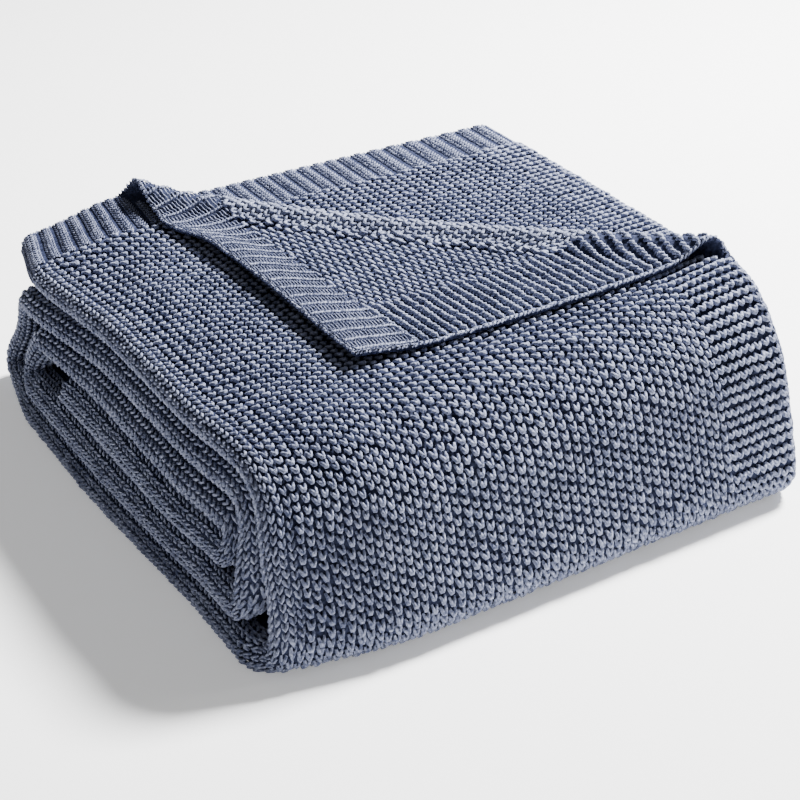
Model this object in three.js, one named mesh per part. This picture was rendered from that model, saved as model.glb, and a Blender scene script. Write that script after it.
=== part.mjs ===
// A chunky knitted blanket, folded for the shelf: the width is folded in three, the long strip
// that this gives is wound into a flat roll, and one corner of the top panel is turned back.
// Units are millimetres. X runs along the folded width, Y from the rounded front to the back,
// Z up. The origin is the middle of the footprint, on the surface that the blanket lies on.

import * as THREE from "three";

// The cloth
const THICKNESS = 4.4;
const SHEET_PITCH = 6.6;

// The width folded in three: where the three panels start and end
const TOP_PANEL_EDGE_X = 345;
const LEFT_FOLD_X = -11;
const RIGHT_FOLD_X = 345;
const MIDDLE_PANEL_EDGE_X = -6;

// The flat roll: corners of the strip's middle line seen from the side, each rounded to its radius
const ROLL_CORNERS = [
  { pass: "loose end on top, at the back", y: 381, z: 108.5, radius: 0 },
  { pass: "outer front, upper", y: 25.7, z: 107.5, radius: 51 },
  { pass: "outer front, lower", y: -10, z: 8.8, radius: 10.5 },
  { pass: "outer back, lower", y: 404, z: 8.8, radius: 12 },
  { pass: "outer back, upper", y: 345, z: 87.4, radius: 24 },
  { pass: "middle front, upper", y: 39.8, z: 87.4, radius: 31 },
  { pass: "middle front, lower", y: 19.8, z: 28.4, radius: 10.5 },
  { pass: "middle back, lower", y: 352, z: 28.4, radius: 11 },
  { pass: "middle back, upper", y: 318, z: 67.8, radius: 12 },
  { pass: "inner front, upper", y: 54, z: 67.8, radius: 9.85 },
  { pass: "inner front, lower", y: 47.3, z: 48.1, radius: 9.85 },
  { pass: "inner end, at the back", y: 280, z: 48.1, radius: 0 },
];

// The corner turned back over a diagonal line
const TURNED = { alongEnd: 285.3, alongSide: 327.1, shrink: 0.854 };
const FLAP_GAP = 6.8;
const CURL = { leftRadius: 8.5, middleRadius: 7.5, rightRadius: 7.2, tighterOver: 0.1, landing: 4 };
const END_EDGE = { lift: 4.8, bow: 10.1, width: 58.7, bowBuildsOver: 120, startsPastFoldOver: 50 };
const LIFTS = [
  { at: "end of the fold by the left, on the back edge", u: 276, v: 8, height: 5, spread: 36 },
  { at: "end of the fold by the right, on the side edge", u: 4, v: 318, height: 4, spread: 40 },
];

// Ribs across both ends and ridges along the side edge, which die out towards the plain field
const END_BAND = { length: 49, pitch: 11.4, height: 0.8 };
const SIDE_BAND = { width: 51, pitch: 8.4, height: 0.7 };
const RIDGED_LENGTH = 445;
const BAND_FADE = 6;

// How the lying heap is uneven
const UNEVEN = {
  crown: 0.1,
  leftDroop: 6,
  skew: 0.058,
  upperStepIn: 17,
  upperFrontStepIn: 4,
  looseEndStepIn: 9,
  frontStepIn: 10,
  backStepIn: 11,
  lowerSpread: 7.8,
  frontTuck: 13.4,
  rightSpread: 3.8,
  rightFlare: 15.3,
  rightBackFlare: 11.7,
};

// The front of the roll as seen from the side: how it leans, and where it meets the surface
const FRONT_LEAN = 0.36;
const FRONT_FOOT_Y = -13;

// Where the folded cloth's footprint has its middle, before it is moved to the origin
const FOOTPRINT_MIDDLE = { x: 176.9, y: 195.8 };

// How finely the flat cloth is divided for its folds and bends
const PANEL_STOPS_X = [12, 45, 115, 190, 255, 310];
const FOLD_STEP = Math.PI / 5;
const BEND_STEP = Math.PI / 7;
const CURL_STEP = Math.PI / 3.5;
const FLAT_STEP = 150;
const SAME_POINT = 0.005;
const ON_SIDE = 0.01;
const NEAREST_STOPS = 0.3;

function smoothstep(low, high, value) {
  const t = THREE.MathUtils.clamp((value - low) / (high - low), 0, 1);
  return t * t * (3 - 2 * t);
}

// The rounded polyline as a row of straight runs and arcs, each with its start along the line.
function roundedPath(corners) {
  const runs = [];
  let start = 0;
  let from = new THREE.Vector2(corners[0].y, corners[0].z);
  for (let i = 1; i < corners.length; i += 1) {
    const corner = new THREE.Vector2(corners[i].y, corners[i].z);
    const heading = corner.clone().sub(from).normalize();
    let cut = 0;
    let turn = 0;
    if (i < corners.length - 1) {
      const next = new THREE.Vector2(corners[i + 1].y, corners[i + 1].z);
      const leaving = next.sub(corner).normalize();
      turn = Math.acos(THREE.MathUtils.clamp(heading.dot(leaving), -1, 1));
      cut = corners[i].radius * Math.tan(turn / 2);
    }
    const length = corner.distanceTo(from) - cut;
    runs.push({ start, length, from: from.clone(), heading: heading.clone(), radius: Infinity });
    start += length;
    from = from.clone().addScaledVector(heading, length);
    if (turn > 0) {
      const radius = corners[i].radius;
      runs.push({ start, length: radius * turn, from: from.clone(), heading, radius });
      start += radius * turn;
      const chord = 2 * radius * Math.sin(turn / 2);
      const along = heading.clone().rotateAround(new THREE.Vector2(), turn / 2);
      from = from.clone().addScaledVector(along, chord);
    }
  }
  return { runs, length: start };
}

const roll = roundedPath(ROLL_CORNERS);

// The place in the side view of a point v along the strip and out from its middle line.
function rollPoint(v, out) {
  const run = roll.runs.findLast((r) => v >= r.start) ?? roll.runs[0];
  const along = v - run.start;
  const turned = along / run.radius;
  const heading = run.heading.clone().rotateAround(new THREE.Vector2(), turned);
  const outward = new THREE.Vector2(heading.y, -heading.x);
  const place = run.from.clone();
  if (run.radius === Infinity) {
    place.addScaledVector(heading, along);
  } else {
    const chord = run.heading.clone().rotateAround(new THREE.Vector2(), turned / 2);
    place.addScaledVector(chord, 2 * run.radius * Math.sin(turned / 2));
  }
  return place.addScaledVector(outward, out);
}

// The width, from the free edge on top through the left and right folds to the edge inside.
const topPanel = TOP_PANEL_EDGE_X - LEFT_FOLD_X;
const leftFold = Math.PI * SHEET_PITCH;
const lowPanel = RIGHT_FOLD_X - LEFT_FOLD_X;
const rightFold = (Math.PI * SHEET_PITCH) / 2;
const middlePanel = RIGHT_FOLD_X - MIDDLE_PANEL_EDGE_X;
const leftFoldStart = topPanel;
const lowPanelStart = leftFoldStart + leftFold;
const rightFoldStart = lowPanelStart + lowPanel;
const middlePanelStart = rightFoldStart + rightFold;
const flatWidth = middlePanelStart + middlePanel;
const flatLength = roll.length;

// The place across the strip: x, and how far out it lies from the strip's middle line.
function foldPoint(u, rise) {
  if (u <= leftFoldStart) {
    return { x: TOP_PANEL_EDGE_X - u, out: SHEET_PITCH + rise };
  }
  if (u <= lowPanelStart) {
    const angle = (u - leftFoldStart) / SHEET_PITCH;
    const radius = SHEET_PITCH + rise;
    return { x: LEFT_FOLD_X - radius * Math.sin(angle), out: radius * Math.cos(angle) };
  }
  if (u <= rightFoldStart) {
    return { x: LEFT_FOLD_X + (u - lowPanelStart), out: -SHEET_PITCH - rise };
  }
  const half = SHEET_PITCH / 2;
  if (u <= middlePanelStart) {
    const angle = (u - rightFoldStart) / half;
    const radius = half + rise;
    return { x: RIGHT_FOLD_X + radius * Math.sin(angle), out: -half - radius * Math.cos(angle) };
  }
  return { x: RIGHT_FOLD_X - (u - middlePanelStart), out: rise };
}

// How the diagonal fold curls: up and over on a round, then down on to the top panel.
function curlAt(side) {
  const nearLeft = smoothstep(CURL.tighterOver, 1, side);
  const nearRight = smoothstep(CURL.tighterOver, 1, -side);
  const radius =
    CURL.middleRadius +
    (CURL.leftRadius - CURL.middleRadius) * nearLeft +
    (CURL.rightRadius - CURL.middleRadius) * nearRight;
  const landing = radius * CURL.landing;
  const overhang = Math.acos((FLAP_GAP + landing - radius) / (radius + landing));
  return { radius, landing, overhang };
}

// The turned corner: where a point of the top panel goes in the panel's own flat frame.
const knitStretch = TURNED.alongSide / TURNED.alongEnd;

function turnBack(u, v, rise) {
  const past = (TURNED.alongSide - u * knitStretch - v) / Math.SQRT2;
  const aside = (u * knitStretch - v) / Math.SQRT2;
  if (past <= 0 || u > leftFoldStart) {
    return { u, v, rise: rise + liftAt(u, v) };
  }
  const { radius, landing, overhang } = curlAt((aside * Math.SQRT2) / TURNED.alongSide);
  const overEnd = radius * (Math.PI + overhang);
  const landEnd = overEnd + landing * overhang;
  let angle = past / radius;
  let reach = radius * Math.sin(angle);
  let height = radius * (1 - Math.cos(angle));
  if (past > overEnd) {
    const left = overhang - Math.min((past - overEnd) / landing, overhang);
    angle = Math.PI + left;
    reach = -(radius + landing) * Math.sin(overhang) + landing * Math.sin(left);
    height = FLAP_GAP + landing * (1 - Math.cos(left));
  }
  if (past > landEnd) {
    reach -= (past - landEnd) * TURNED.shrink;
  }
  reach -= Math.sin(angle) * rise;
  height += Math.cos(angle) * rise;
  const byEndEdge =
    smoothstep(END_EDGE.width, 0, v) *
    smoothstep(0, END_EDGE.startsPastFoldOver, past - landEnd);
  reach += END_EDGE.bow * byEndEdge * smoothstep(0, END_EDGE.bowBuildsOver, u);
  height += END_EDGE.lift * byEndEdge;
  const inward = TURNED.alongSide - Math.SQRT2 * reach;
  const turnedU = (inward + Math.SQRT2 * aside) / 2 / knitStretch;
  const turnedV = (inward - Math.SQRT2 * aside) / 2;
  return { u: turnedU, v: turnedV, rise: height + liftAt(turnedU, turnedV) };
}

// The top panel stands off the one below at both ends of the diagonal fold.
function liftAt(u, v) {
  if (u > leftFoldStart) {
    return 0;
  }
  return LIFTS.reduce((sum, lift) => {
    const away = Math.hypot(u - lift.u, v - lift.v) / lift.spread;
    return sum + lift.height * Math.exp(-away * away);
  }, 0);
}

// The heap is a little crowned to the right front, droops at its left end and lies askew. At the
// left end the upper layers and the front are stepped in, the lower layers spread out and the
// front is tucked back. The right end spreads out, mostly at the back.
function settle(x, y, z) {
  const share = z / ROLL_CORNERS[0].z;
  const behindFront = y - FRONT_LEAN * z - FRONT_FOOT_Y;
  const crown = smoothstep(120, 380, x) * smoothstep(330, 90, y);
  const droop = smoothstep(45, -22, x) * share * share;
  const leftward = smoothstep(110, -20, x);
  const rightward = smoothstep(250, 345, x);
  const stepIn =
    UNEVEN.upperStepIn * smoothstep(0.25, 0.95, share) * smoothstep(350, 220, y) +
    UNEVEN.upperFrontStepIn * smoothstep(0.1, 0.35, share) * smoothstep(130, 60, y) +
    UNEVEN.looseEndStepIn * smoothstep(0.88, 0.94, share) * smoothstep(230, 385, y) +
    UNEVEN.frontStepIn * smoothstep(0.8, 0.3, share) * smoothstep(24, 4, behindFront) +
    UNEVEN.backStepIn * smoothstep(320, 400, y);
  const spread = UNEVEN.lowerSpread * smoothstep(0.54, 0.05, share) * smoothstep(60, 240, y);
  const flare =
    UNEVEN.rightSpread * smoothstep(0.95, 0.57, share) +
    UNEVEN.rightFlare * smoothstep(-26, 242, y) +
    UNEVEN.rightBackFlare * smoothstep(150, 330, y);
  const tuck = UNEVEN.frontTuck * leftward * leftward * smoothstep(120, 0, y);
  return new THREE.Vector3(
    x + leftward * (stepIn - spread) + rightward * flare - FOOTPRINT_MIDDLE.x,
    y + tuck + UNEVEN.skew * (x - FOOTPRINT_MIDDLE.x) - FOOTPRINT_MIDDLE.y,
    z * (1 + UNEVEN.crown * crown) - UNEVEN.leftDroop * droop,
  );
}

function placed(u, v, rise) {
  const turned = turnBack(u, v, rise);
  const across = foldPoint(turned.u, turned.rise);
  const side = rollPoint(turned.v, across.out);
  return settle(across.x, side.x, side.y);
}

// The height that a rib of the end or a ridge of the side adds to both faces.
function wave(distance, pitch) {
  return 1 - Math.abs(((2 * distance) / pitch) % 2 - 1);
}

function ribbed(u, v) {
  return v < END_BAND.length && (u < lowPanelStart || u > middlePanelStart);
}

function ridged(u, v) {
  return u < SIDE_BAND.width && v > END_BAND.length && v < RIDGED_LENGTH;
}

function relief(u, v) {
  if (ribbed(u, v)) {
    const fade = Math.min(1, (END_BAND.length - v) / BAND_FADE);
    return fade * END_BAND.height * wave(u, END_BAND.pitch);
  }
  if (ridged(u, v)) {
    const fade = Math.min(1, (SIDE_BAND.width - u) / BAND_FADE);
    return fade * SIDE_BAND.height * wave(v - END_BAND.length, SIDE_BAND.pitch);
  }
  return 0;
}

// The flat cloth is cut into convex patches: a patch is a list of [u, v] corners.
function cut(patches, a, b, c, applies = () => true) {
  return patches.flatMap((patch) => {
    if (!applies(patch)) {
      return [patch];
    }
    const side = patch.map(([u, v]) => {
      const distance = a * u + b * v - c;
      return Math.abs(distance) < NEAREST_STOPS ? 0 : distance;
    });
    if (!side.some((s) => s > 0) || !side.some((s) => s < 0)) {
      return [patch];
    }
    const above = [];
    const below = [];
    patch.forEach((point, i) => {
      const next = (i + 1) % patch.length;
      if (side[i] >= 0) {
        above.push(point);
      }
      if (side[i] <= 0) {
        below.push(point);
      }
      if (side[i] * side[next] < 0) {
        const t = side[i] / (side[i] - side[next]);
        const crossing = point.map((value, k) => value + t * (patch[next][k] - value));
        above.push(crossing);
        below.push(crossing);
      }
    });
    return [above, below];
  });
}

function middleOf(patch) {
  const sum = patch.reduce((total, [u, v]) => [total[0] + u, total[1] + v], [0, 0]);
  return [sum[0] / patch.length, sum[1] / patch.length];
}

function evenStops(from, to, step) {
  const count = Math.max(1, Math.round((to - from) / step));
  return Array.from({ length: count + 1 }, (_, i) => from + ((to - from) * i) / count);
}

function acrossStops() {
  return [
    ...PANEL_STOPS_X.map((x) => TOP_PANEL_EDGE_X - x),
    ...evenStops(leftFoldStart, lowPanelStart, SHEET_PITCH * FOLD_STEP),
    ...PANEL_STOPS_X.map((x) => lowPanelStart + x - LEFT_FOLD_X),
    ...evenStops(rightFoldStart, middlePanelStart, (SHEET_PITCH / 2) * FOLD_STEP),
    ...PANEL_STOPS_X.map((x) => middlePanelStart + RIGHT_FOLD_X - x),
  ];
}

function alongStops() {
  return roll.runs.flatMap((run) => {
    const step = run.radius === Infinity ? FLAT_STEP : run.radius * BEND_STEP;
    return evenStops(run.start, run.start + run.length, step);
  });
}

function clothPatches() {
  let patches = [[[0, 0], [flatWidth, 0], [flatWidth, flatLength], [0, flatLength]]];
  for (const u of acrossStops()) {
    patches = cut(patches, 1, 0, u);
  }
  for (const v of alongStops()) {
    patches = cut(patches, 0, 1, v);
  }
  patches = cut(patches, 0, 1, END_BAND.length);
  patches = cut(patches, 0, 1, RIDGED_LENGTH);
  patches = cut(patches, 1, 0, SIDE_BAND.width, (patch) => middleOf(patch)[1] < RIDGED_LENGTH);
  const inEndBand = (patch) => ribbed(...middleOf(patch));
  patches = cut(patches, 0, 1, END_BAND.length - BAND_FADE, inEndBand);
  for (let u = END_BAND.pitch / 2; u < flatWidth; u += END_BAND.pitch / 2) {
    patches = cut(patches, 1, 0, u, inEndBand);
  }
  const inSideBand = (patch) => ridged(...middleOf(patch));
  patches = cut(patches, 1, 0, SIDE_BAND.width - BAND_FADE, inSideBand);
  for (let v = END_BAND.length; v < RIDGED_LENGTH; v += SIDE_BAND.pitch / 2) {
    patches = cut(patches, 0, 1, v, inSideBand);
  }
  const inTopPanel = (patch) => middleOf(patch)[0] < leftFoldStart;
  for (const past of curlStops()) {
    patches = cut(patches, knitStretch, 1, TURNED.alongSide - past * Math.SQRT2, inTopPanel);
  }
  return patches;
}

function curlStops() {
  const { radius, landing, overhang } = curlAt(0);
  const widest = curlAt(1);
  const widestEnd = widest.radius * (Math.PI + widest.overhang) + widest.landing * widest.overhang;
  return [
    ...evenStops(0, radius * (Math.PI + overhang), radius * CURL_STEP),
    ...evenStops(radius * (Math.PI + overhang), widestEnd, landing),
  ];
}

// Corners of neighbours that lie on a patch's side become corners of the patch too.
class CornerIndex {
  constructor(patches) {
    this.byKey = new Map();
    this.points = [];
    for (const patch of patches) {
      patch.forEach((point) => this.indexOf(point));
    }
  }

  indexOf([u, v]) {
    const key = `${Math.round(u / SAME_POINT)},${Math.round(v / SAME_POINT)}`;
    if (!this.byKey.has(key)) {
      this.byKey.set(key, this.points.length);
      this.points.push([u, v]);
    }
    return this.byKey.get(key);
  }

  between(first, last) {
    const [u0, v0] = this.points[first];
    const [u1, v1] = this.points[last];
    const length = Math.hypot(u1 - u0, v1 - v0);
    const found = [];
    this.points.forEach(([u, v], index) => {
      const along = ((u - u0) * (u1 - u0) + (v - v0) * (v1 - v0)) / length;
      const off = Math.abs((u - u0) * (v1 - v0) - (v - v0) * (u1 - u0)) / length;
      if (off < ON_SIDE && along > ON_SIDE && along < length - ON_SIDE) {
        found.push({ index, along });
      }
    });
    return found.sort((p, q) => p.along - q.along).map((p) => p.index);
  }
}

function withNeighbours(ring, index) {
  return ring.flatMap((from, i) => {
    const to = ring[(i + 1) % ring.length];
    return [from, ...index.between(from, to)];
  });
}

// One closed body: the outer face, the inner face and the narrow wall round the cloth's edge.
function clothGeometry() {
  const patches = clothPatches();
  const index = new CornerIndex(patches);
  const triangles = [];
  const rim = new Map();
  for (const patch of patches) {
    const corners = patch.map((point) => index.indexOf(point));
    const ring = withNeighbours(corners, index);
    if (ring.length === 3) {
      triangles.push(ring);
    } else if (ring.length === 4 && corners.length === 4) {
      triangles.push([ring[0], ring[1], ring[2]], [ring[0], ring[2], ring[3]]);
    } else {
      const hub = index.indexOf(middleOf(patch));
      ring.forEach((from, i) => triangles.push([hub, from, ring[(i + 1) % ring.length]]));
    }
    ring.forEach((from, i) => {
      const to = ring[(i + 1) % ring.length];
      if (!rim.delete(`${to},${from}`)) {
        rim.set(`${from},${to}`, [from, to]);
      }
    });
  }

  const count = index.points.length;
  const faces = triangles.flatMap(([a, b, c]) => [a, b, c, count + c, count + b, count + a]);
  for (const [a, b] of rim.values()) {
    faces.push(a, count + a, count + b, a, count + b, b);
  }
  const places = [1, -1].flatMap((side) =>
    index.points.flatMap(([u, v]) =>
      placed(u, v, side * (THICKNESS / 2 + relief(u, v))).toArray(),
    ),
  );
  const geometry = new THREE.BufferGeometry();
  geometry.setAttribute("position", new THREE.Float32BufferAttribute(places, 3));
  geometry.setIndex(faces);
  geometry.computeVertexNormals();
  return geometry;
}

const yarn = new THREE.MeshStandardMaterial({ color: "#5f6c8f", roughness: 0.95, metalness: 0 });

const blanket = new THREE.Mesh(clothGeometry(), yarn);
blanket.name = "blanket";

const part = new THREE.Group();
part.add(blanket);

export default part;
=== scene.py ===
import math

import bpy
import numpy as np
from mathutils import Matrix, Vector


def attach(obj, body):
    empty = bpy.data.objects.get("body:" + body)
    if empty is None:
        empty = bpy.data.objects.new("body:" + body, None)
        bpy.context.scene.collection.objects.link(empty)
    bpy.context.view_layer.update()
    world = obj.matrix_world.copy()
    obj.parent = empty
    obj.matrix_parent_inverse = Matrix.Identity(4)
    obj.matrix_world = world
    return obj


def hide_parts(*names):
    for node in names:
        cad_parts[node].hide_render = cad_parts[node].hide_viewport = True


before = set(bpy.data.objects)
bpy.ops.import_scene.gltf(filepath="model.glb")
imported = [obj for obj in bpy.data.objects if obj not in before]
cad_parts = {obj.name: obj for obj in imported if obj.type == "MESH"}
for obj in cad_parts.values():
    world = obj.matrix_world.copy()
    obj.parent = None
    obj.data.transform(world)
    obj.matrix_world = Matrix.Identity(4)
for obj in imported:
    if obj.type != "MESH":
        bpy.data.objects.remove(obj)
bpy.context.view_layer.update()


# The cloth under the stitches: one knitted blanket of thick cotton yarn, folded in three across
# its width, wound into a flat roll, with one corner of the top panel turned back. It is laid here
# as a thin sheet in millimetres, the ground that shows between the stitches, coloured near black:
# painted shade for the dark gaps between stitches, where the real yarn is no darker than the rest.
MM = 0.001
SHEET_PITCH = 6.6
TOP_EDGE_X = 345.0
LEFT_FOLD_X = -11.0
RIGHT_FOLD_X = 345.0
MIDDLE_EDGE_X = -6.0
ROLL_CORNERS = [
    (381, 108.5, 0),
    (25.7, 107.5, 51),
    (-10, 8.8, 10.5),
    (404, 8.8, 12),
    (345, 87.4, 24),
    (39.8, 87.4, 31),
    (19.8, 28.4, 10.5),
    (352, 28.4, 11),
    (318, 67.8, 12),
    (54, 67.8, 9.85),
    (47.3, 48.1, 9.85),
    (280, 48.1, 0),
]
TURNED_ALONG_END = 285.3
TURNED_ALONG_SIDE = 327.1
TURNED_SHRINK = 0.854
FLAP_GAP = 6.8
CURL_LEFT, CURL_MIDDLE, CURL_RIGHT = 8.5, 7.5, 7.2
CURL_TIGHTER_OVER = 0.1
CURL_LANDING = 4.0
END_EDGE_LIFT, END_EDGE_BOW, END_EDGE_WIDTH = 4.8, 10.1, 58.7
END_EDGE_LIFTS_OVER, END_EDGE_BOWS_OVER = 50, 120
LIFTS = [(276, 8, 5, 36), (4, 318, 4, 40)]
CROWN = 0.1
LEFT_DROOP = 6
SKEW = 0.058
UPPER_STEP_IN, UPPER_FRONT_STEP_IN, LOOSE_END_STEP_IN = 17, 4, 9
FRONT_STEP_IN, BACK_STEP_IN = 10, 11
LOWER_SPREAD = 7.8
FRONT_TUCK = 13.4
RIGHT_SPREAD, RIGHT_FLARE, RIGHT_BACK_FLARE = 3.8, 15.3, 11.7
FRONT_LEAN, FRONT_FOOT_Y = 0.36, -13
MIDDLE_X, MIDDLE_Y = 176.9, 195.8
SHEET_THICKNESS = 2.4


def smooth(low, high, value):
    """A soft step from 0 at low to 1 at high."""
    t = np.clip((value - low) / (high - low), 0, 1)
    return t * t * (3 - 2 * t)


def rounded_path(corners):
    """Straight and round runs (start, y, z, heading, bend) past the corners, and the length."""
    runs = []
    start = 0.0
    here = np.array(corners[0][:2], float)
    for i in range(1, len(corners)):
        corner = np.array(corners[i][:2], float)
        radius = corners[i][2]
        heading = (corner - here) / np.linalg.norm(corner - here)
        turn = 0.0
        if i < len(corners) - 1:
            leaving = np.array(corners[i + 1][:2], float) - corner
            leaving /= np.linalg.norm(leaving)
            turn = math.acos(np.clip(heading @ leaving, -1, 1))
        length = np.linalg.norm(corner - here) - radius * math.tan(turn / 2)
        angle = math.atan2(heading[1], heading[0])
        runs.append((start, here[0], here[1], angle, 0.0))
        start += length
        here = here + heading * length
        if radius:
            runs.append((start, here[0], here[1], angle, 1 / radius))
            start += radius * turn
            middle = angle + turn / 2
            chord = 2 * radius * math.sin(turn / 2)
            here = here + chord * np.array([math.cos(middle), math.sin(middle)])
    return np.array(runs), start


roll_runs, flat_length = rounded_path(ROLL_CORNERS)
left_start = TOP_EDGE_X - LEFT_FOLD_X
low_start = left_start + math.pi * SHEET_PITCH
right_start = low_start + RIGHT_FOLD_X - LEFT_FOLD_X
middle_start = right_start + math.pi * SHEET_PITCH / 2
flat_width = middle_start + RIGHT_FOLD_X - MIDDLE_EDGE_X
knit_stretch = TURNED_ALONG_SIDE / TURNED_ALONG_END


def roll_point(v, out):
    """The y and z of a point v along the wound strip, and out from its middle."""
    which = np.clip(np.searchsorted(roll_runs[:, 0], v, side="right") - 1, 0, None)
    start, y, z, angle, bend = np.moveaxis(roll_runs[which], -1, 0)
    along = v - start
    turned = along * bend
    arc = 2 * np.sin(turned / 2) / np.where(bend > 0, bend, 1)
    chord = np.where(bend > 0, arc, along)
    y = y + chord * np.cos(angle + turned / 2)
    z = z + chord * np.sin(angle + turned / 2)
    return y + out * np.sin(angle + turned), z - out * np.cos(angle + turned)


def fold_point(u, rise):
    """The x of a point u across the cloth folded in three, and how far out it is."""
    half = SHEET_PITCH / 2
    left = (u - left_start) / SHEET_PITCH
    right = (u - right_start) / half
    panels = [u <= left_start, u <= low_start, u <= right_start, u <= middle_start]
    x = np.select(
        panels,
        [
            TOP_EDGE_X - u,
            LEFT_FOLD_X - (SHEET_PITCH + rise) * np.sin(left),
            LEFT_FOLD_X + u - low_start,
            RIGHT_FOLD_X + (half + rise) * np.sin(right),
        ],
        RIGHT_FOLD_X - (u - middle_start),
    )
    out = np.select(
        panels,
        [
            SHEET_PITCH + rise,
            (SHEET_PITCH + rise) * np.cos(left),
            -SHEET_PITCH - rise,
            -half - (half + rise) * np.cos(right),
        ],
        rise,
    )
    return x, out


def lift_at(u, v):
    """How far the top panel stands up over what lies under it."""
    lift = sum(h * np.exp(-((u - a) ** 2 + (v - b) ** 2) / w**2) for a, b, h, w in LIFTS)
    return np.where(u > left_start, 0.0, lift)


def past_fold(u, v):
    """How far a point lies past the line that the corner is turned back on."""
    return (TURNED_ALONG_SIDE - u * knit_stretch - v) / math.sqrt(2)


def turn_back(u, v, rise):
    """The corner past the fold line curled over, landed on the top panel and laid flat on it."""
    past = past_fold(u, v)
    aside = (u * knit_stretch - v) / math.sqrt(2)
    side = aside * math.sqrt(2) / TURNED_ALONG_SIDE
    radius = (
        CURL_MIDDLE
        + (CURL_LEFT - CURL_MIDDLE) * smooth(CURL_TIGHTER_OVER, 1, side)
        + (CURL_RIGHT - CURL_MIDDLE) * smooth(CURL_TIGHTER_OVER, 1, -side)
    )
    landing = radius * CURL_LANDING
    overhang = np.arccos((FLAP_GAP + landing - radius) / (radius + landing))
    over_end = radius * (math.pi + overhang)
    land_end = over_end + landing * overhang
    left = overhang - np.clip((past - over_end) / landing, 0, overhang)
    round_part = past <= over_end
    angle = np.where(round_part, past / radius, math.pi + left)
    reach = np.where(
        round_part,
        radius * np.sin(past / radius),
        -(radius + landing) * np.sin(overhang) + landing * np.sin(left),
    )
    height = np.where(
        round_part,
        radius * (1 - np.cos(past / radius)),
        FLAP_GAP + landing * (1 - np.cos(left)),
    )
    reach = reach - np.maximum(past - land_end, 0) * TURNED_SHRINK - np.sin(angle) * rise
    height = height + np.cos(angle) * rise
    by_end = smooth(END_EDGE_WIDTH, 0, v) * smooth(0, END_EDGE_LIFTS_OVER, past - land_end)
    reach = reach + END_EDGE_BOW * by_end * smooth(0, END_EDGE_BOWS_OVER, u)
    height = height + END_EDGE_LIFT * by_end
    inward = TURNED_ALONG_SIDE - math.sqrt(2) * reach
    turned = (past > 0) & (u <= left_start)
    new_u = np.where(turned, (inward + math.sqrt(2) * aside) / 2 / knit_stretch, u)
    new_v = np.where(turned, (inward - math.sqrt(2) * aside) / 2, v)
    return new_u, new_v, np.where(turned, height, rise) + lift_at(new_u, new_v)


def settle(x, y, z):
    """The neat roll sagged and pushed out of square, each of its layers by its own amount."""
    share = z / ROLL_CORNERS[0][1]
    behind_front = y - FRONT_LEAN * z - FRONT_FOOT_Y
    crown = smooth(120, 380, x) * smooth(330, 90, y)
    droop = smooth(45, -22, x) * share**2
    leftward = smooth(110, -20, x)
    step_in = (
        UPPER_STEP_IN * smooth(0.25, 0.95, share) * smooth(350, 220, y)
        + UPPER_FRONT_STEP_IN * smooth(0.1, 0.35, share) * smooth(130, 60, y)
        + LOOSE_END_STEP_IN * smooth(0.88, 0.94, share) * smooth(230, 385, y)
        + FRONT_STEP_IN * smooth(0.8, 0.3, share) * smooth(24, 4, behind_front)
        + BACK_STEP_IN * smooth(320, 400, y)
    )
    spread = LOWER_SPREAD * smooth(0.54, 0.05, share) * smooth(60, 240, y)
    flare = (
        RIGHT_SPREAD * smooth(0.95, 0.57, share)
        + RIGHT_FLARE * smooth(-26, 242, y)
        + RIGHT_BACK_FLARE * smooth(150, 330, y)
    )
    tuck = FRONT_TUCK * leftward**2 * smooth(120, 0, y)
    return np.stack(
        [
            x + leftward * (step_in - spread) + smooth(250, 345, x) * flare - MIDDLE_X,
            y + tuck + SKEW * (x - MIDDLE_X) - MIDDLE_Y,
            z * (1 + CROWN * crown) - LEFT_DROOP * droop,
        ],
        -1,
    )


def place(u, v, rise):
    """Where a point u across and v along the flat cloth, and rise over its face, comes to lie."""
    u, v, rise = (np.asarray(a, float) for a in np.broadcast_arrays(u, v, rise))
    u, v, rise = turn_back(u, v, rise)
    x, out = fold_point(u, rise)
    y, z = roll_point(v, out)
    points = settle(x, y, z) * MM
    points[..., 2] = np.maximum(points[..., 2], 0)
    return points


def mesh_piece(name, points, quads, material):
    """One object of joined quads."""
    mesh = bpy.data.meshes.new(name)
    mesh.vertices.add(len(points))
    mesh.vertices.foreach_set("co", points.astype(np.float32).ravel())
    mesh.loops.add(quads.size)
    mesh.loops.foreach_set("vertex_index", quads.astype(np.int32).ravel())
    mesh.polygons.add(len(quads))
    mesh.polygons.foreach_set("loop_start", np.arange(0, quads.size, 4, dtype=np.int32))
    mesh.update(calc_edges=True)
    mesh.polygons.foreach_set("use_smooth", np.ones(len(quads), bool))
    mesh.materials.append(material)
    piece = bpy.data.objects.new(name, mesh)
    bpy.context.scene.collection.objects.link(piece)
    return piece


class Socket:
    """A shader value whose + - * / make Math nodes."""

    def __init__(self, tree, socket):
        self.tree = tree
        self.socket = socket

    def node(self, kind, settings=(), output=0, **inputs):
        made = self.tree.nodes.new(kind)
        for key, value in dict(settings).items():
            setattr(made, key, value)
        for key, value in inputs.items():
            slot = made.inputs[int(key[1:]) if key[1:].isdigit() else key.replace("_", " ")]
            if isinstance(value, Socket):
                self.tree.links.new(value.socket, slot)
            else:
                slot.default_value = value
        return Socket(self.tree, made.outputs[output])

    def maths(self, operation, first, second):
        return self.node("ShaderNodeMath", {"operation": operation}, _0=first, _1=second)

    def __add__(self, other):
        return self.maths("ADD", self, other)

    __radd__ = __add__

    def __sub__(self, other):
        return self.maths("SUBTRACT", self, other)

    def __rsub__(self, other):
        return self.maths("SUBTRACT", other, self)

    def __mul__(self, other):
        return self.maths("MULTIPLY", self, other)

    __rmul__ = __mul__


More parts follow.
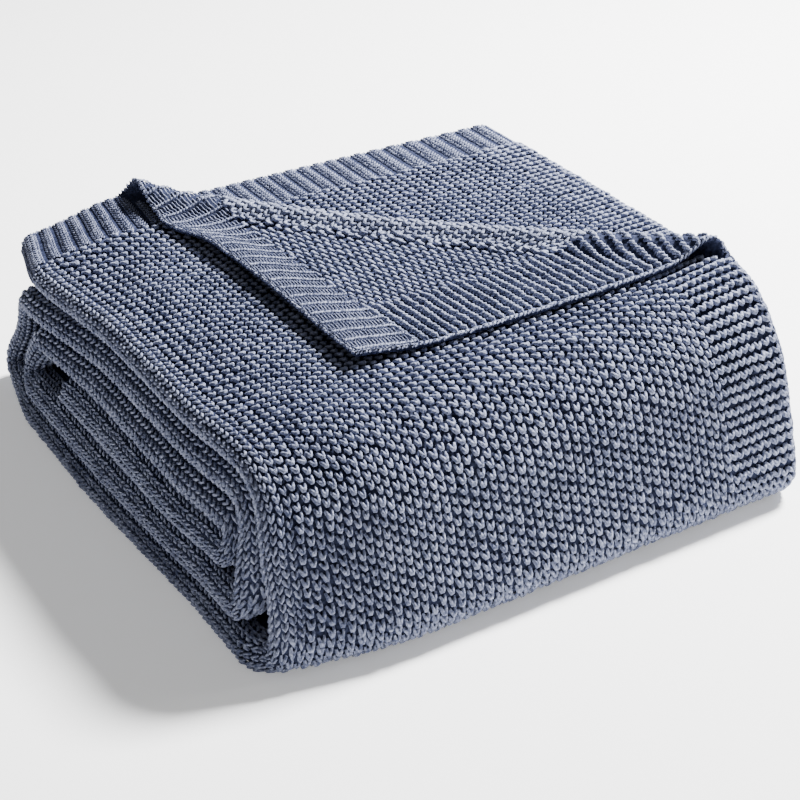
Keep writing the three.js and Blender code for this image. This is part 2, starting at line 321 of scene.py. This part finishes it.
def yarn_material(name, dark, light, fuzz, grain, gloss):
    """Spun cotton: dark and light fibres mottled at the given grain, rough and a little glossy."""
    material = bpy.data.materials.new(name)
    material.use_nodes = True
    tree = material.node_tree
    shader = tree.nodes["Principled BSDF"]
    coordinates = Socket(tree, tree.nodes.new("ShaderNodeTexCoord").outputs["Object"])
    fibres = coordinates.node("ShaderNodeTexNoise", Vector=coordinates, Scale=grain, Detail=3.0)
    patches = coordinates.node("ShaderNodeTexNoise", Vector=coordinates, Scale=45.0, Detail=2.0)
    share = (fibres - 0.5) * 2.6 + (patches - 0.5) * 0.8 + 0.45
    colour = coordinates.node(
        "ShaderNodeMix",
        {"data_type": "RGBA"},
        output=2,
        _0=share,
        _6=(*dark, 1.0),
        _7=(*light, 1.0),
    )
    tree.links.new(colour.socket, shader.inputs["Base Color"])
    bump = coordinates.node("ShaderNodeBump", Strength=fuzz, Distance=0.002, Height=fibres)
    tree.links.new(bump.socket, shader.inputs["Normal"])
    shader.inputs["Roughness"].default_value = 0.7
    shader.inputs["Specular IOR Level"].default_value = gloss
    return material


yarn = yarn_material("knit_yarn", (0.07, 0.085, 0.16), (0.36, 0.39, 0.53), 0.8, 520.0, 0.4)
# Painted shade: the same cotton made near black and less glossy for the ground sheet, standing in
# for the dark between stitches.
painted_shade_ground_yarn = yarn_material(
    "knit_yarn_ground_painted_shade", (0.01, 0.013, 0.03), (0.045, 0.053, 0.1), 0.6, 420.0, 0.05
)


def stops(*spans):
    """Places through spans (low, high, step), evenly in each."""
    values = []
    for low, high, step in spans:
        count = max(1, round((high - low) / step))
        values.extend(np.linspace(low, high, count, endpoint=False))
    return np.array([*values, spans[-1][1]])


CORNER_ACROSS, CORNER_ALONG = 300, 332
CORNER_STEP, TOP_STEP, HIDDEN_STEP = 4.5, 9, 14
LEFT_FOLD_STEP, RIGHT_FOLD_STEP = 2.3, 1.8
BEND_STEP, FLAT_STEP = 0.3, 24
across = stops(
    (0, CORNER_ACROSS, CORNER_STEP),
    (CORNER_ACROSS, left_start, TOP_STEP),
    (left_start, low_start, LEFT_FOLD_STEP),
    (low_start, right_start, HIDDEN_STEP),
    (right_start, middle_start, RIGHT_FOLD_STEP),
    (middle_start, flat_width, HIDDEN_STEP),
)
along_spans = [(0, CORNER_ALONG, CORNER_STEP)]
run_ends = [*roll_runs[1:, 0], flat_length]
for start, end, bend in zip(roll_runs[:, 0], run_ends, roll_runs[:, 4]):
    if end > CORNER_ALONG:
        step = BEND_STEP / bend if bend else FLAT_STEP
        along_spans.append((max(CORNER_ALONG, start), end, step))
along = stops(*along_spans)
grid_u, grid_v = np.meshgrid(across, along)
rows, columns = grid_u.shape
faces = [place(grid_u, grid_v, side * SHEET_THICKNESS / 2) for side in (1, -1)]
numbers = np.arange(rows * columns).reshape(rows, columns)
quads = np.stack(
    [numbers[:-1, :-1], numbers[:-1, 1:], numbers[1:, 1:], numbers[1:, :-1]], -1
).reshape(-1, 4)
border = np.concatenate(
    [numbers[0, :-1], numbers[:-1, -1], numbers[-1, :0:-1], numbers[:0:-1, 0]]
)
following = np.roll(border, -1)
under = rows * columns
walls = np.stack([following, border, border + under, following + under], -1)
# The sheet carries the painted-shade ground material, so the gaps between stitches come out dark.
cloth = mesh_piece(
    "cloth",
    np.concatenate([f.reshape(-1, 3) for f in faces]),
    np.concatenate([quads, quads[:, ::-1] + under, walls]),
    painted_shade_ground_yarn,
)
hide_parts("blanket")
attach(cloth, "root")


# The plain field of the knit: columns of fat V stitches of thick cotton yarn, every second one
# offset by half a row, looped through each other. Each zone of the cloth has a piece of its own,
# with the stitches made coarser where they lie underneath, inside or at the back.
COLUMN = 6.45
ROW = 6.0
END_BAND = 49.0
SIDE_BAND = 51.0
MIDDLE_BAND_END = middle_start + 27
CURL_PAST = 29.0
CURL_FIELD_START, CURL_FIELD_END, TURNED_FIELD_START = 0.5, CURL_PAST + 10, CURL_PAST + 5
CORNER_FIELD_END, CORNER_BORDER_END = 330, 335
MIDDLE_SHOWS_PAST = -14
RIGHT_FOLDS_SHOW_FROM = 230
UNDER_CORNER = 2
ON_TOP_PANEL, ON_LEFT_FOLD, ON_LOW_PANEL = (200, 600), (366, 600), (600, 600)
LEVEL_ALONG = 700
rng = np.random.default_rng(7)


def tube(path, radii, sides):
    """Points and quads of a tube along a path that lies flat, open at both its ends."""
    path = np.asarray(path, float)
    radii = np.asarray(radii, float)
    heading = np.gradient(path, axis=0)
    heading /= np.linalg.norm(heading, axis=1)[:, None]
    aside = np.cross(heading, [0, 0, 1])
    aside /= np.linalg.norm(aside, axis=1)[:, None]
    upward = np.cross(aside, heading)
    angle = np.arange(sides) * 2 * math.pi / sides
    across_ring = np.cos(angle)[None, :, None] * aside[:, None]
    ring = across_ring + np.sin(angle)[None, :, None] * upward[:, None]
    points = path[:, None] + ring * radii[:, None, None]
    first = np.arange(len(path) * sides).reshape(len(path), sides)
    after = np.roll(first, -1, axis=1)
    quads = np.stack([first[:-1], first[1:], after[1:], after[:-1]], -1).reshape(-1, 4)
    return points.reshape(-1, 3), quads


def v_stitch(wide, long, high, thick, steps, sides, tips=0.5):
    """A V of yarn with its point at +v, fat and raised there and thin and sunk at its tips."""
    t = np.linspace(-1, 1, steps + 1)
    leg = np.abs(t)
    u = wide * np.sign(t) * leg**0.85
    v = long * (0.5 - leg**1.3)
    path = np.stack([u, v, high * (1 - 0.65 * leg**2.5)], -1)
    return tube(path, thick * (1 - (1 - tips) * leg**1.5), sides)


def spread_of(u, v, rise):
    """How far apart points lie on the folded cloth that are 1 apart along u and along v."""
    step_u = place(u + 0.5, v, rise) - place(u - 0.5, v, rise)
    step_v = place(u, v + 0.5, rise) - place(u, v - 0.5, rise)
    return np.linalg.norm(step_u, axis=-1) / MM, np.linalg.norm(step_v, axis=-1) / MM


def evenly(values, spread, pitch):
    """Places a half pitch apart as measured on the cloth, and the room that each has in u or v."""
    length = np.concatenate([[0], np.cumsum(spread[:-1] * np.diff(values))])
    count = max(1, round(length[-1] / pitch))
    halves = np.interp((np.arange(count * 2) + 0.5) * length[-1] / count / 2, length, values)
    return halves, np.gradient(halves) * 2 / pitch


def lattice(u_low, u_high, v_low, v_high, column, row, stagger=True, seen_at=None, rise=3.0):
    """Seeds (u, v, room in u, room in v) in rows and columns that are even along seen_at."""
    seen_u, seen_v = seen_at or ((u_low + u_high) / 2, LEVEL_ALONG)
    fine_u = np.arange(u_low, u_high + 0.5, 1.0)
    fine_v = np.arange(v_low, v_high + 0.5, 1.0)
    spread_u = spread_of(fine_u, np.full_like(fine_u, seen_v), rise)[0]
    spread_v = spread_of(np.full_like(fine_v, seen_u), fine_v, rise)[1]
    columns_at, columns_room = evenly(fine_u, spread_u, column)
    rows_at, rows_room = evenly(fine_v, spread_v, row)
    seeds = []
    for i, (u, room_u) in enumerate(zip(columns_at[::2], columns_room[::2])):
        chosen = slice(i % 2 if stagger else 0, None, 2)
        column_seeds = np.broadcast_arrays(u, rows_at[chosen], room_u, rows_room[chosen])
        seeds.append(np.stack(column_seeds, -1))
    return np.concatenate(seeds)


def knitted(seeds, stitch, side=1, base=1.0, turn=0.0, loose=1.0):
    """The stitch laid at every seed of the cloth, on its face (1) or its reverse (-1)."""
    shape, shape_quads = stitch
    count = len(seeds)
    angle = turn + rng.normal(0, 0.11 * loose, count)
    size = 1 + rng.normal(0, 0.05 * loose, count)
    shift = rng.normal(0, 0.25 * loose, (count, 2))
    lift = np.broadcast_to(base, count) + rng.normal(0, 0.18 * loose, count)
    cos = (np.cos(angle) * size)[:, None]
    sin = (np.sin(angle) * size)[:, None]
    along_u = cos * shape[:, 0] - sin * shape[:, 1]
    along_v = sin * shape[:, 0] + cos * shape[:, 1]
    u = (seeds[:, 0] + shift[:, 0])[:, None] + along_u * seeds[:, 2:3]
    v = (seeds[:, 1] + shift[:, 1])[:, None] + along_v * seeds[:, 3:4]
    rise = side * (lift[:, None] + size[:, None] * shape[:, 2])
    points = place(u, v, rise).reshape(-1, 3)
    order = shape_quads if side > 0 else shape_quads[:, ::-1]
    quads = order[None] + (np.arange(count) * len(shape))[:, None, None]
    return points, quads.reshape(-1, 4)


def stitch_piece(name, *groups):
    """One piece of the knitted groups of stitches, which stands on the cloth."""
    starts_at = np.cumsum([0] + [len(points) for points, _ in groups])
    quads = np.concatenate([quads + start for (_, quads), start in zip(groups, starts_at)])
    piece = mesh_piece(name, np.concatenate([points for points, _ in groups]), quads, yarn)
    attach(piece, "root")


def past_of(seeds):
    """How far each seed lies past the line that the corner is turned back on."""
    return past_fold(seeds[:, 0], seeds[:, 1])


fine_v = v_stitch(2.0, 4.3, 2.3, 1.4, 7, 6, tips=0.6)
plain_v = v_stitch(2.0, 4.3, 2.3, 1.4, 6, 5, tips=0.6)
curl_v = v_stitch(2.05, 4.3, 1.3, 1.55, 6, 5, tips=0.7)
rim_v = v_stitch(1.8, 3.6, 1.4, 1.3, 4, 4, tips=0.7)
coarse_v = v_stitch(2.05, 3.9, 1.9, 1.5, 4, 3)
hidden_v = v_stitch(2.05, 3.9, 1.9, 1.5, 2, 4)
FRONT_START, FRONT_END, BACK_START, BACK_END = 290, 450, 790, 945
RIM_START, RIM_END = left_start - 6, low_start + 10

outer = lattice(SIDE_BAND, RIM_START + 1, END_BAND, BACK_END, COLUMN, ROW, seen_at=ON_TOP_PANEL)
outer = outer[past_of(outer) < UNDER_CORNER]
front = (outer[:, 1] > FRONT_START) & (outer[:, 1] < FRONT_END)
stitch_piece("field_front", knitted(outer[front], fine_v))
stitch_piece("field_top", knitted(outer[outer[:, 1] <= FRONT_START], plain_v))
under = (outer[:, 1] >= FRONT_END) & (outer[:, 1] < BACK_START)
stitch_piece(
    "field_under_and_back",
    knitted(outer[under], hidden_v),
    knitted(outer[outer[:, 1] >= BACK_START], coarse_v),
)
RIM_COLUMN, RIM_ROW = 5.3, 5.1
rims = lattice(
    RIM_START, RIM_END, END_BAND, flat_length, RIM_COLUMN, RIM_ROW, seen_at=ON_LEFT_FOLD
)
stitch_piece("field_left_folds", knitted(rims, rim_v, base=0.8, loose=0.7))

CORNER_PACK, CURL_PACK = 0.93, 0.83
corner_zone = (SIDE_BAND, CORNER_ACROSS, END_BAND, CORNER_FIELD_END)
turned = lattice(*corner_zone, COLUMN / CORNER_PACK, ROW / CORNER_PACK, seen_at=ON_LOW_PANEL)
turned[:, 2:] *= CORNER_PACK
turned = turned[past_of(turned) > TURNED_FIELD_START]
curl = lattice(*corner_zone, COLUMN * CURL_PACK, ROW * CURL_PACK, seen_at=ON_LOW_PANEL)
curl = curl[(past_of(curl) > CURL_FIELD_START) & (past_of(curl) < CURL_FIELD_END)]
stitch_piece(
    "field_turned_corner",
    knitted(turned, fine_v, side=-1, turn=math.pi),
    knitted(curl, curl_v, side=-1, base=0.6, turn=math.pi, loose=0.5),
)

middle = lattice(
    MIDDLE_BAND_END, flat_width - 40, END_BAND - 2, CORNER_FIELD_END, COLUMN, ROW
)
middle_past = past_fold(middle[:, 0] - middle_start, middle[:, 1])
uncovered = middle[middle_past > MIDDLE_SHOWS_PAST]
stitch_piece("field_middle_panel", knitted(uncovered, plain_v))

rims = lattice(
    right_start - 8, middle_start + 8, RIGHT_FOLDS_SHOW_FROM, flat_length, COLUMN, ROW
)
stitch_piece("field_right_folds", knitted(rims, coarse_v))


# The side borders: garter ridges knitted square to the side edge, seven stitches wide, with a
# small hole in each stitch. On the reverse they are rows of slanting beads. A chain of loops
# closes the edge itself.
BORDER_START = 3
BORDER_COLUMN, BORDER_ROW = 6.6, 6.7
garter = v_stitch(2.8, 3.2, 1.9, 1.6, 6, 6, tips=0.8)
coarse_garter = v_stitch(2.8, 3.2, 1.8, 1.6, 4, 4, tips=0.8)
slant_bead = tube(
    [(-1.9, 1.5, 0.2), (-0.8, 0.7, 2.0), (0.8, -0.7, 2.0), (1.9, -1.5, 0.2)],
    [0.6, 1.25, 1.25, 0.6],
    6,
)
edge_loop = v_stitch(1.2, 3.6, 1.0, 0.95, 6, 5)

border = lattice(
    BORDER_START, SIDE_BAND, END_BAND, BACK_END, BORDER_COLUMN, BORDER_ROW, stagger=False
)
lying = border[past_of(border) < UNDER_CORNER]
middle = lattice(
    right_start - 6,
    MIDDLE_BAND_END,
    END_BAND - 4,
    CORNER_ALONG,
    BORDER_COLUMN,
    BORDER_ROW,
    stagger=False,
)
stitch_piece(
    "border_side",
    knitted(lying[lying[:, 1] < FRONT_END], garter),
    knitted(middle, garter),
    knitted(lying[lying[:, 1] >= FRONT_END], coarse_garter),
)
BEAD_STEP, RIDGE_STEP = 3.6, 7.8
ridges = lattice(
    BORDER_START,
    SIDE_BAND,
    END_BAND,
    CORNER_BORDER_END,
    BEAD_STEP,
    RIDGE_STEP,
    stagger=False,
    seen_at=ON_LOW_PANEL,
)
past = past_of(ridges)
stitch_piece(
    "border_turned_corner",
    knitted(ridges[past > CURL_PAST], slant_bead, side=-1),
    knitted(ridges[(past > -1) & (past <= CURL_PAST)], slant_bead, side=-1, base=0.0),
)

EDGE_IN, EDGE_START, EDGE_LOOP_STEP = 1.0, 1.5, 3.7
EDGE_OVERLAP = 20
edge_v = np.arange(EDGE_START, flat_length, EDGE_LOOP_STEP)
edge = np.stack(np.broadcast_arrays(EDGE_IN, edge_v, 1.0, 1.0), -1)
stitch_piece(
    "edge_side",
    knitted(edge[edge[:, 1] < TURNED_ALONG_SIDE], edge_loop, side=-1, base=0.2),
    knitted(edge[edge[:, 1] > TURNED_ALONG_SIDE - EDGE_OVERLAP], edge_loop, base=0.2),
)


# The end bands: wide ribs knitted square to the end edge. On the face each rib is a smooth panel
# of fine stitches beside a narrow groove. On the reverse the groove stands up as a beaded line,
# with a ladder of short slanting bars from one line to the next.
RIB = 11.4
RIB_ROW, BAR_ROW = 3.2, 2.9
CURL_SINK = 1.5
small_v = v_stitch(0.9, 3.0, 0.9, 1.05, 4, 3, tips=0.7)
groove_v = v_stitch(0.35, 3.0, 0.5, 0.55, 4, 3)
line_v = v_stitch(0.5, 2.2, 0.9, 0.8, 4, 5)
bar = tube(
    [(-4.9, 1.3, -0.9), (-2.7, 0.7, 0.8), (0, 0, -0.3), (2.7, -0.7, 0.8), (4.9, -1.3, -0.9)],
    [0.32, 0.48, 0.36, 0.48, 0.32],
    5,
)


def ribs(u_low, u_high, offset, row=RIB_ROW):
    """Seeds in one line along each rib of the end band, offset from the rib's start."""
    u = np.arange(u_low, u_high, RIB) + offset
    v = np.arange(EDGE_START, END_BAND, row)
    return np.stack(np.broadcast_arrays(u[:, None], v[None], 1.0, 1.0), -1).reshape(-1, 4)


RIB_LINES = [
    (small_v, 1.7, 0.9),
    (small_v, 3.6, 1.8),
    (small_v, 5.5, 1.8),
    (small_v, 7.4, 0.9),
    (groove_v, 10.1, 0.0),
]
face_ribs = []
for first, last in ((240, low_start), (right_start, flat_width - 30)):
    for stitch, offset, height in RIB_LINES:
        seeds = ribs(first, last, offset)
        if last == low_start:
            seeds = seeds[past_of(seeds) < UNDER_CORNER]
        face_ribs.append(knitted(seeds, stitch, base=height, loose=0.25))
stitch_piece("end_band_face", *face_ribs)

reverse_ribs = []
for stitch, offset, height in ((line_v, 0.8, 2.8), (bar, 6.5, 2.3)):
    seeds = ribs(0, CORNER_ACROSS, offset, BAR_ROW)
    past = past_of(seeds)
    flat = seeds[past > CURL_PAST]
    curled = seeds[(past > -1) & (past <= CURL_PAST)]
    reverse_ribs.append(knitted(flat, stitch, side=-1, base=height, loose=0.4))
    reverse_ribs.append(
        knitted(curled, stitch, side=-1, base=height - CURL_SINK, loose=0.4)
    )
stitch_piece("end_band_turned_corner", *reverse_ribs)

end_loop = v_stitch(1.1, 3.0, 1.0, 1.0, 4, 5)
END_EDGE_IN, END_LOOP_STEP = 0.8, 3.1
edge_u = np.arange(EDGE_START, flat_width, END_LOOP_STEP)
edge = np.stack(np.broadcast_arrays(edge_u, END_EDGE_IN, 1.0, 1.0), -1)
stitch_piece(
    "edge_end",
    knitted(edge[edge[:, 0] < TURNED_ALONG_END], end_loop, -1, 0.2, math.pi),
    knitted(edge[edge[:, 0] > TURNED_ALONG_END - EDGE_OVERLAP], end_loop, 1, 0.2, math.pi),
)


# The whole blanket: the cloth and all its stitches are one sheet of knit, folded as it lies.
# Its flat size as laid out is worked out below and not used further.
flat_width * MM
flat_length * MM


# The studio: a pale floor, a soft lamp above the right end, a weak one low at the front, and the
# camera where the photograph was taken from.
FLOOR_HALF = 6
LENS = 80.4
CAMERA_AT = (-0.5079, -0.8812, 0.589)
CAMERA_RIGHT = Vector((0.8625, -0.5060, 0.0))
CAMERA_UP = Vector((0.2469, 0.4208, 0.8729))
CAMERA_AHEAD = Vector((0.4417, 0.7529, -0.4879))
floor_mesh = bpy.data.meshes.new("floor")
floor_signs = [(-1, -1), (1, -1), (1, 1), (-1, 1)]
floor_corners = [(FLOOR_HALF * x, FLOOR_HALF * y, 0) for x, y in floor_signs]
floor_mesh.from_pydata(floor_corners, [], [(0, 1, 2, 3)])
floor = bpy.data.objects.new("floor", floor_mesh)
bpy.context.scene.collection.objects.link(floor)
floor_paint = bpy.data.materials.new("floor_paint")
floor_paint.use_nodes = True
floor_shader = floor_paint.node_tree.nodes["Principled BSDF"]
floor_shader.inputs["Base Color"].default_value = (0.95, 0.95, 0.95, 1)
floor_shader.inputs["Roughness"].default_value = 0.9
floor_shader.inputs["Emission Color"].default_value = (1, 1, 1, 1)
floor_shader.inputs["Emission Strength"].default_value = 0.34
floor_mesh.materials.append(floor_paint)


def soft_light(name, place_at, aim, size, power):
    """A round soft lamp that points at a place on the blanket."""
    lamp = bpy.data.lights.new(name, "AREA")
    lamp.shape = "DISK"
    lamp.size = size
    lamp.energy = power
    light = bpy.data.objects.new(name, lamp)
    light.location = place_at
    heading = Vector(aim) - Vector(place_at)
    light.rotation_euler = heading.to_track_quat("-Z", "Y").to_euler()
    bpy.context.scene.collection.objects.link(light)


soft_light("key_light", (1.3, 0.2, 1.55), (0.03, 0, 0.07), 0.5, 258)
soft_light("front_light", (1.6, -0.8, 0.6), (0, 0, 0.06), 0.4, 6)
world = bpy.data.worlds.new("studio")
world.use_nodes = True
world.node_tree.nodes["Background"].inputs["Color"].default_value = (1, 1, 1, 1)
world.node_tree.nodes["Background"].inputs["Strength"].default_value = 0.22
bpy.context.scene.world = world

lens = bpy.data.cameras.new("camera")
lens.sensor_width = 36
lens.lens = LENS
camera = bpy.data.objects.new("camera", lens)
turned_to = Matrix((CAMERA_RIGHT, CAMERA_UP, -CAMERA_AHEAD)).transposed().to_4x4()
camera.matrix_world = Matrix.Translation(CAMERA_AT) @ turned_to
bpy.context.scene.collection.objects.link(camera)
bpy.context.scene.camera = camera

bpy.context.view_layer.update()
